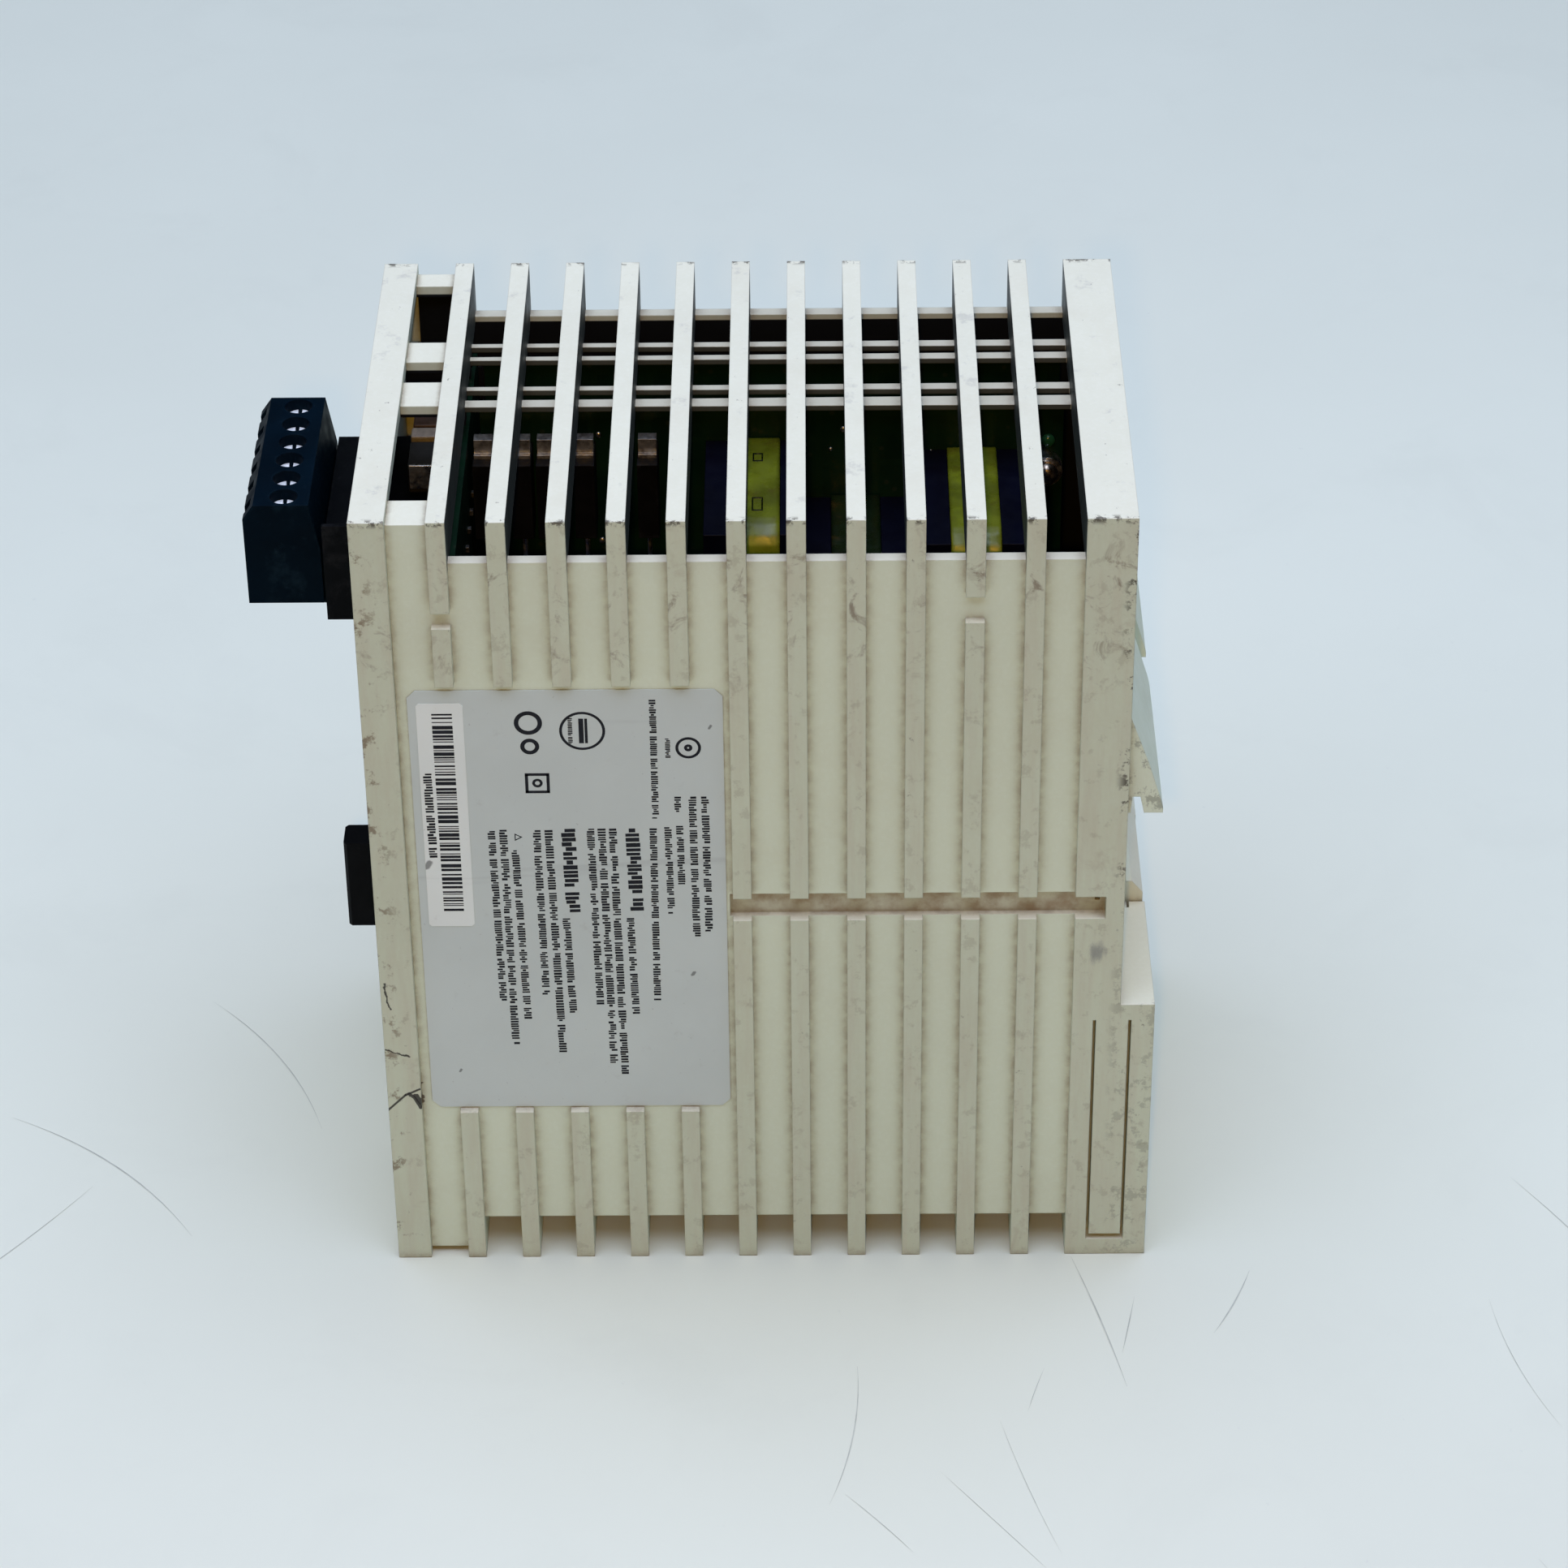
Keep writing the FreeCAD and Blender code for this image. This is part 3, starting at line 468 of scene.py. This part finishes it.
pick = {"housing_body": CASE, "front_cover": CASE, "din_latch": CASE_LOOSE, "rating_label": LABEL,
        "serial_sticker": PAPER, "terminal_header": BLACK, "terminal_plug": PLUG, "push_button": KEY,
        "button_switch": EPOXY, "header_pins": PIN_TIN_SHADED, "plug_contacts": BRASS, "front_board": GREEN,
        "main_board": GREEN_MAIN, "second_board": GREEN, "board_link": BLACK, "front_board_link": BLACK,
        "power_packages": EPOXY, "package_tabs": LUG, "bulk_capacitors": CAN, "output_capacitors": CAN,
        "film_capacitor": CREAM, "line_choke": COPPER, "input_fuse": GLASS, "bridge_rectifier": EPOXY,
        "control_chips": EPOXY, "signal_transistors": EPOXY, "board_screws": STEEL, "light_pipes": LENS,
        "indicator_leds": LED, "trimmer_body": TRIM, "trimmer_rotor": ROTOR,
        "latch_spring": STEEL, "button_spring": STEEL, "transformer_winding_2": TAPE_SHADED}
for n, o in NODES.items():
    if n in pick:
        put(o, pick[n])
    elif n.startswith("transformer_core"):
        put(o, FERRITE)
    elif n.startswith("transformer_winding"):
        put(o, TAPE)
    elif n.startswith("terminal_screw"):
        put(o, SCREW)
    elif n.startswith("clamp_cage"):
        put(o, STEEL)
    else:
        put(o, EPOXY)

for n in ("transformer_winding_1", "transformer_winding_2", "transformer_winding_3"):
    o = NODES[n]
    wl = o.modifiers.new("weld", "WELD")
    wl.merge_threshold = 0.00001
    bv = o.modifiers.new("round", "BEVEL")
    bv.width = 0.0011
    bv.segments = 3
    bv.limit_method = "ANGLE"
    bv.angle_limit = math.radians(50)


# ------------------------------------------------------------------ pieces in mesh code
def finish_mesh(name, bm, mat, body="case", bevel=None, smooth=False):
    bmesh.ops.recalc_face_normals(bm, faces=bm.faces)
    me = bpy.data.meshes.new(name)
    bm.to_mesh(me)
    bm.free()
    o = bpy.data.objects.new(name, me)
    S.collection.objects.link(o)
    put(o, mat)
    for p in me.polygons:
        p.use_smooth = smooth
    if bevel:
        b_ = o.modifiers.new("bevel", "BEVEL")
        b_.width = bevel
        b_.segments = 2
        b_.limit_method = "ANGLE"
    if body:
        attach(o, body)
    return o


def slab(bm, x0, x1, y0, y1, z0, z1):
    """A closed block; depths are counted from the cover's face."""
    v = [bm.verts.new(P(*c)) for c in ((x0, y0, z0), (x1, y0, z0), (x1, y1, z0), (x0, y1, z0),
                                       (x0, y0, z1), (x1, y0, z1), (x1, y1, z1), (x0, y1, z1))]
    for f in ((0, 3, 2, 1), (4, 5, 6, 7), (0, 1, 5, 4), (1, 2, 6, 5), (2, 3, 7, 6), (3, 0, 4, 7)):
        bm.faces.new([v[i] for i in f])


def plate(bm, x, t, pts):
    """A thin closed plate on the labelled side with outline pts in (depth, height)."""
    lo = [bm.verts.new(P(x, a, b)) for a, b in pts]
    hi = [bm.verts.new(P(x + t, a, b)) for a, b in pts]
    bm.faces.new(lo[::-1])
    bm.faces.new(hi)
    n_ = len(pts)
    for i in range(n_):
        j = (i + 1) % n_
        bm.faces.new((lo[i], lo[j], hi[j], hi[i]))


def ring(bm, x, t, c, r0, r1, n_=36, a0=0.0, a1=360.0):
    full = abs(a1 - a0) >= 359.9
    k = n_ if full else n_ + 1
    rows = []
    for i in range(k):
        a = math.radians(a0 + (a1 - a0) * i / n_)
        rows.append([bm.verts.new(P(x + d, c[0] + r * math.cos(a), c[1] + r * math.sin(a)))
                     for r, d in ((r0, 0), (r1, 0), (r1, t), (r0, t))])
    last = k if full else k - 1
    for i in range(last):
        a_, b_ = rows[i], rows[(i + 1) % k]
        for q in range(4):
            w_ = (q + 1) % 4
            bm.faces.new((a_[q], a_[w_], b_[w_], b_[q]))
    if not full:
        bm.faces.new(rows[0][::-1])
        bm.faces.new(rows[-1])


def dashes(bm, rng, x, t, p, q, h, bold=False):
    """A row of separate parallel ticks from p to q (depth, height): the texture of a printed line, with no shapes."""
    L = math.hypot(q[0] - p[0], q[1] - p[1])
    dy_, dz_ = (q[0] - p[0]) / L, (q[1] - p[1]) / L
    h = h * 1.18
    s = 0.0
    while s < L - 0.3:
        for _ in range(rng.randint(4, 15)):
            th = h * rng.uniform(0.20, 0.34) * (1.1 if bold else 1.0)
            if s + th > L:
                break
            n0 = -h / 2 * rng.choice((1.0, 1.0, 0.9, 0.5))
            n1 = h / 2 * rng.choice((1.0, 1.0, 0.9, 0.4))
            pts = [(p[0] + dy_ * ss - dz_ * nn, p[1] + dz_ * ss + dy_ * nn)
                   for ss, nn in ((s, n0), (s + th, n0), (s + th, n1), (s, n1))]
            plate(bm, x, t, pts)
            s += th + h * rng.uniform(0.08, 0.15) * (0.75 if bold else 1.0)
        s += h * rng.uniform(0.30, 0.50)


rng = random.Random(20)
LX, TX = 35.845, 0.016
bm = bmesh.new()
for p_, q_, h_, bold_ in (
        ((41.0, 101.0), (41.0, 80.5), 0.85, False), ((40.6, 78.9), (40.5, 47.8), 0.90, False),
        ((48.1, 84.4), (48.3, 60.4), 0.95, False), ((46.3, 84.4), (46.5, 59.0), 0.95, False),
        ((44.2, 84.4), (44.2, 81.6), 0.85, False), ((44.4, 79.3), (44.5, 68.9), 0.90, False),
        ((42.7, 79.1), (42.9, 63.6), 0.90, False),
        ((37.6, 78.9), (37.9, 64.1), 1.75, True), ((36.9, 63.0), (37.3, 45.3), 0.95, False),
        ((34.8, 78.9), (35.4, 34.3), 0.98, False), ((33.2, 78.9), (33.8, 36.4), 0.98, False),
        ((31.6, 78.9), (32.1, 46.9), 0.95, False),
        ((28.4, 78.9), (28.7, 64.0), 1.75, True), ((27.6, 63.0), (28.1, 45.4), 0.95, False),
        ((25.6, 78.7), (26.3, 38.4), 0.98, False), ((23.9, 78.7), (24.2, 48.9), 0.95, False),
        ((20.7, 75.2), (21.4, 44.2), 0.95, False), ((19.1, 78.8), (19.4, 40.0), 0.98, False),
        ((17.4, 78.6), (17.9, 47.9), 0.92, False),
        ((29.3, 98.0), (29.3, 93.6), 0.55, False), ((43.0, 94.4), (43.0, 90.9), 0.62, False)):
    dashes(bm, rng, LX, TX, p_, q_, h_, bold_)
# plain rings, squares and bars where marks would be
ring(bm, LX, TX, (31.0, 95.8), 2.85, 3.25, 44)
plate(bm, LX, TX, [(30.5, 93.7), (31.2, 93.7), (31.2, 97.9), (30.5, 97.9)])
plate(bm, LX, TX, [(31.35, 93.7), (31.75, 93.7), (31.75, 97.9), (31.35, 97.9)])
ring(bm, LX, TX, (23.4, 97.2), 1.35, 2.0, 30)
ring(bm, LX, TX, (23.5, 93.2), 0.75, 1.35, 24)
for (y0_, z0_, y1_, z1_) in ((22.6, 88.6, 26.1, 88.15), (22.6, 85.6, 26.1, 85.15),
                             (22.6, 88.4, 23.05, 85.3), (25.65, 88.4, 26.1, 85.3)):
    plate(bm, LX, TX, [(y0_, z1_), (y1_, z1_), (y1_, z0_), (y0_, z0_)])
ring(bm, LX, TX, (24.35, 86.9), 0.35, 0.75, 20)
ring(bm, LX, TX, (45.9, 92.8), 1.40, 1.82, 32)
ring(bm, LX, TX, (45.9, 92.8), 0.15, 0.60, 16)
ring(bm, LX, TX, (21.1, 77.5), 0.45, 0.75, 3)
finish_mesh("label_print", bm, INK)

# bars and a row of strokes on the small sticker
bm = bmesh.new()
zz = 98.9
while zz > 64.0:
    w_ = rng.choice((0.16, 0.16, 0.28, 0.42, 0.6))
    f_ = (98.9 - zz) / 35.0
    if zz - w_ < 63.9:
        break
    plate(bm, 35.925, 0.016, [(9.85 + 0.12 * f_, zz - w_), (12.75 + 0.12 * f_, zz - w_),
                              (12.75 + 0.12 * f_, zz), (9.85 + 0.12 * f_, zz)])
    zz -= w_ + rng.choice((0.16, 0.22, 0.32, 0.5))
dashes(bm, rng, 35.925, 0.016, (8.75, 88.7), (8.95, 73.7), 1.05)
finish_mesh("sticker_print", bm, INK)

# flaps of tape and moulding marks on the wound parts, drawn as outlines in the darkened tape copy: their darkness is
# partly painted shade along the flaps' edges
bm = bmesh.new()
for (xc, yc, zt, w_, l_) in ((-3.4, 55.8, 117.0, 1.5, 2.2), (9.6, 55.8, 117.0, 1.6, 3.6),
                             (2.0, 86.3, 115.2, 1.6, 3.0)):
    for (x0, x1, y0, y1) in ((xc - l_ / 2, xc + l_ / 2, yc - w_ / 2, yc - w_ / 2 + 0.22),
                             (xc - l_ / 2, xc + l_ / 2, yc + w_ / 2 - 0.22, yc + w_ / 2),
                             (xc - l_ / 2, xc - l_ / 2 + 0.22, yc - w_ / 2 + 0.22, yc + w_ / 2 - 0.22),
                             (xc + l_ / 2 - 0.22, xc + l_ / 2, yc - w_ / 2 + 0.22, yc + w_ / 2 - 0.22)):
        slab(bm, x0, x1, y0, y1, zt - 0.05, zt + 0.12)
finish_mesh("tape_flaps", bm, TAPE_SHADED, bevel=0.00004)

# springs, wound in mesh code in place of the model's spring parts, which are hidden
def coil_piece(name, node_name, axis, start, mean_r, wire_r, length, turns):
    bm = bmesh.new()
    n_ = int(turns * 26)
    rise = length - 2 * wire_r
    rows = []
    for i_ in range(n_ + 1):
        t_ = i_ / n_
        a_ = 2 * math.pi * turns * t_
        rad = (math.cos(a_), math.sin(a_))
        row = []
        for j_ in range(10):
            b_ = 2 * math.pi * j_ / 10
            rr = mean_r + wire_r * math.cos(b_)
            along = wire_r + rise * t_ + wire_r * math.sin(b_)
            if axis == "z":
                row.append(bm.verts.new(P(start[0] + rr * rad[0], start[1] + rr * rad[1], start[2] + along)))
            else:
                row.append(bm.verts.new(P(start[0] + rr * rad[0], start[1] + along, start[2] + rr * rad[1])))
        rows.append(row)
    for r0, r1 in zip(rows, rows[1:]):
        for j_ in range(10):
            k_ = (j_ + 1) % 10
            bm.faces.new((r0[j_], r0[k_], r1[k_], r1[j_]))
    bm.faces.new(rows[0][::-1])
    bm.faces.new(rows[-1])
    o = finish_mesh(name, bm, STEEL, smooth=True)
    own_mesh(o)
    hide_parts(node_name)
    return o


coil_piece("button_coil", "button_spring", "y", (0.0, 3.55, 45.1), 2.5, 0.25, 4.9, 4)
coil_piece("latch_coil", "latch_spring", "z", (0.0, 111.3, 21.2), 1.35, 0.25, 14.2, 7)

# leads of the upright packages, down to the board
bm = bmesh.new()
for yc in (15.8, 21.3, 25.0, 30.5, 39.7):
    for xo in (-7.6, -5.8, -4.0):
        slab(bm, xo - 0.35, xo + 0.35, yc - 0.25, yc + 0.25, 99.0, 104.1)
finish_mesh("package_leads", bm, STEEL, bevel=0.00008)

# solder joints along the main board's near face
bm = bmesh.new()
for i in range(46):
    yc, zc = rng.uniform(16.5, 99.0), rng.uniform(12.0, 119.5)
    r_ = rng.uniform(0.3, 0.6)
    bmesh.ops.create_uvsphere(bm, u_segments=10, v_segments=6, radius=r_ * MM,
                              matrix=Matrix.Translation(P(-9.3, yc, zc)) @ Matrix.Diagonal((0.55, 1, 1, 1)))
finish_mesh("solder_joints", bm, STEEL, smooth=True)

# parts on top of the header, seen through the front ring's window
RES = plain("component_brown", (0.085, 0.050, 0.034), 0.45, var=0.25, scale=500.0)
RES2 = plain("component_pale", (0.40, 0.36, 0.30), 0.35, var=0.2, scale=700.0)
RES3 = plain("component_grey", (0.020, 0.020, 0.019), 0.4, var=0.25, scale=500.0)
for nm, mt, (xa, xb, ya, yb, za, zb) in (
        ("part_brown", RES, (-13.6, -9.6, 5.4, 9.9, 115.0, 119.2)),
        ("part_pale", RES2, (-7.6, -4.9, 5.4, 9.9, 115.0, 120.0)),
        ("part_grey", RES3, (-4.3, 2.6, 5.4, 9.9, 115.0, 119.6))):
    bm = bmesh.new()
    slab(bm, xa, xb, ya, yb, za, zb)
    for dx in (0.7, -0.7):
        xm = (xa + xb) / 2 + dx
        slab(bm, xm - 0.25, xm + 0.25, 7.3, 7.8, 114.0, 115.1)
    finish_mesh(nm, bm, mt, bevel=0.0006)
bm = bmesh.new()
slab(bm, 2.65, 3.15, 5.6, 9.7, 116.0, 119.9)
finish_mesh("part_edge", bm, STEEL, bevel=0.0001)

# pan-head screw and washer at the rear of the main board, with a solder bead above it
def lathe(bm, prof, c, n_=28):
    rows = []
    for i_ in range(n_):
        a_ = 2 * math.pi * i_ / n_
        rows.append([bm.verts.new(P(c[0] + h_, c[1] + r_ * math.cos(a_), c[2] + r_ * math.sin(a_))) for r_, h_ in prof])
    for i_ in range(n_):
        a_, b_ = rows[i_], rows[(i_ + 1) % n_]
        for q_ in range(len(prof) - 1):
            bm.faces.new((a_[q_], b_[q_], b_[q_ + 1], a_[q_ + 1]))
    bm.faces.new([r_[-1] for r_ in rows])
    bm.faces.new([r_[0] for r_ in rows][::-1])


BRONZE = metal("passivated_screw", (0.80, 0.68, 0.55), (0.50, 0.38, 0.28), 0.25)
for k_, zc in enumerate((112.0, 18.0)):
    bm = bmesh.new()
    lathe(bm, [(1.75, 0.0), (1.9, 0.25), (1.8, 0.9), (1.45, 1.4), (0.9, 1.7), (0.25, 1.78)], (-7.1, 97.9, zc))
    finish_mesh("screw_dome_%d" % (k_ + 1), bm, BRONZE, smooth=True)
bm = bmesh.new()
lathe(bm, [(1.1, 0.0), (1.0, 0.5), (0.6, 0.8), (0.15, 0.9)], (-9.3, 98.2, 116.2), 18)
finish_mesh("solder_bead", bm, plain("green_lacquer", (0.02, 0.12, 0.05), 0.15), smooth=True)

# ------------------------------------------------------------------ stage
def grid_floor():
    bm = bmesh.new()
    xs = [1.4]
    for i in range(0, 25):
        xs.append(-1.3 - 0.8 * math.sin(math.radians(90 * i / 24)))
    zs = [0.0]
    for i in range(0, 25):
        zs.append(0.8 - 0.8 * math.cos(math.radians(90 * i / 24)))
    xs.append(-2.1)
    zs.append(2.4)
    rows = []
    for x, z in zip(xs, zs):
        rows.append([bm.verts.new((x, y, z - 0.0001)) for y in (-2.2, 2.2)])
    for a, b in zip(rows, rows[1:]):
        bm.faces.new((a[0], a[1], b[1], b[0]))
    me = bpy.data.meshes.new("floor")
    bm.to_mesh(me)
    bm.free()
    o = bpy.data.objects.new("floor", me)
    S.collection.objects.link(o)
    for p in me.polygons:
        p.use_smooth = True
    return o


def floor_sheet():
    m = Mat("floor_sheet")
    x, y, z = m.sep()
    n = m.noise(5.0, 5.0, 0.6)
    col = m.mix(m.ramp(n, 0.3, 0.7), FLOOR_A, FLOOR_B)
    n2 = m.noise(24.0, 6.0, 0.65, distort=0.5)
    col = m.mix(m.mul(m.ramp(n2, 0.50, 0.72), 0.10), col, tuple(c * 0.78 for c in FLOOR_A))
    sp = m.noise(330.0, 5.0, 0.7)
    col = m.mix(m.mul(m.ramp(sp, 0.68, 0.74), 0.12), col, (0.42, 0.42, 0.43))
    # painted shade: the sheet darkens towards the back, where less light reaches it, and a little towards the near edge
    far = m.ramp(x, -0.35, -1.6)
    col = m.mix(m.mul(far, 0.9), col, tuple(c * 0.56 for c in FLOOR_A))
    near = m.ramp(x, 0.02, 0.30)
    col = m.mix(m.mul(near, 0.9), col, tuple(c * 0.86 for c in FLOOR_A))
    r = m.ramp(m.noise(12.0, 4.0), 0.3, 0.7, 0.38, 0.5)
    nrm = m.bump(m.noise(9.0, 3.0), 0.004, 0.10)
    return m.set(col, r, m.bump(m.noise(700.0, 3.0), 0.00005, 0.12, nrm), Specular_IOR_Level=0.25)


FLOOR_A = (0.775, 0.785, 0.662)
FLOOR_B = (0.805, 0.815, 0.688)
floor = grid_floor()
put(floor, floor_sheet())

# hair-thin scratches on the sheet
srng = random.Random(7)
bm = bmesh.new()
for i in range(34):
    if i < 24:
        cx_, cy_ = srng.uniform(0.03, 0.21), srng.uniform(0.02, 0.19)
    else:
        cx_, cy_ = srng.uniform(-0.05, 0.20), srng.uniform(-0.17, -0.06)
    a = srng.uniform(-0.9, 0.9) + (math.pi if srng.random() < 0.5 else 0)
    ln = srng.uniform(0.010, 0.045)
    k_ = srng.uniform(-14.0, 14.0)
    w_ = srng.uniform(0.00005, 0.00012)
    prev = None
    for j in range(15):
        t = j / 14
        aa = a + k_ * ln * (t - 0.5)
        px = cx_ + ln * (t - 0.5) * math.cos(a) - k_ * ln * ln * (t - 0.5) ** 2 * math.sin(a) * 0.5
        py = cy_ + ln * (t - 0.5) * math.sin(a) + k_ * ln * ln * (t - 0.5) ** 2 * math.cos(a) * 0.5
        ww = w_ * math.sin(math.pi * min(max(t, 0.04), 0.96))
        nx_, ny_ = -math.sin(aa), math.cos(aa)
        cur = (bm.verts.new((px + nx_ * ww, py + ny_ * ww, -0.00004)),
               bm.verts.new((px - nx_ * ww, py - ny_ * ww, -0.00004)))
        if prev:
            bm.faces.new((prev[0], prev[1], cur[1], cur[0]))
        prev = cur
SCR = plain("floor_scratch", (0.52, 0.53, 0.46), 0.6, var=0.15, scale=200.0)
scratches = finish_mesh("floor_scratches", bm, SCR, body=None)


def area(name, loc, aim, size, power, color):
    d = bpy.data.lights.new(name, "AREA")
    d.shape = "RECTANGLE"
    d.size, d.size_y = size
    d.energy = power
    d.color = color
    o = bpy.data.objects.new(name, d)
    S.collection.objects.link(o)
    o.location = loc
    o.rotation_euler = (Vector(aim) - Vector(loc)).to_track_quat("-Z", "Y").to_euler()
    return o


K_TOP = (20.4, 23.6, 31.0)
K_FLASH = (0.75, 0.39, 0.06)
K_SKY = (0.012, 0.016, 0.022)
area("overhead", (0.10, 0.0, 1.3), (0, 0, 0), (1.7, 1.7), max(K_TOP), tuple(c / max(K_TOP) for c in K_TOP))
area("near_lamp", (0.5921, 0.0039, 0.4621), (0, 0, 0.065), (0.012, 0.012), max(K_FLASH),
     tuple(c / max(K_FLASH) for c in K_FLASH))
w = bpy.data.worlds.new("studio")
S.world = w
w.use_nodes = True
w.node_tree.nodes["Background"].inputs[0].default_value = tuple(c / max(K_SKY) for c in K_SKY) + (1,)
w.node_tree.nodes["Background"].inputs[1].default_value = max(K_SKY)
S.view_settings.view_transform = "Standard"
S.view_settings.look = "None"

# ------------------------------------------------------------------ camera
cam_data = bpy.data.cameras.new("camera")
cam_data.sensor_width = 36.0
cam_data.lens = 109.34
cam_data.clip_start = 0.05
cam_data.clip_end = 20.0
cam = bpy.data.objects.new("camera", cam_data)
S.collection.objects.link(cam)
right = Vector((-0.0019224, 0.9999575, -0.009013))
down = Vector((0.5697759, -0.0063116, -0.8217759))
fwd = Vector((-0.8217979, -0.0067151, -0.5697395))
rot = Matrix((right, -down, -fwd)).transposed()
cam.matrix_world = Matrix.Translation(Vector((0.5921133, 0.0158870, 0.4721228))) @ rot.to_4x4()
S.camera = cam
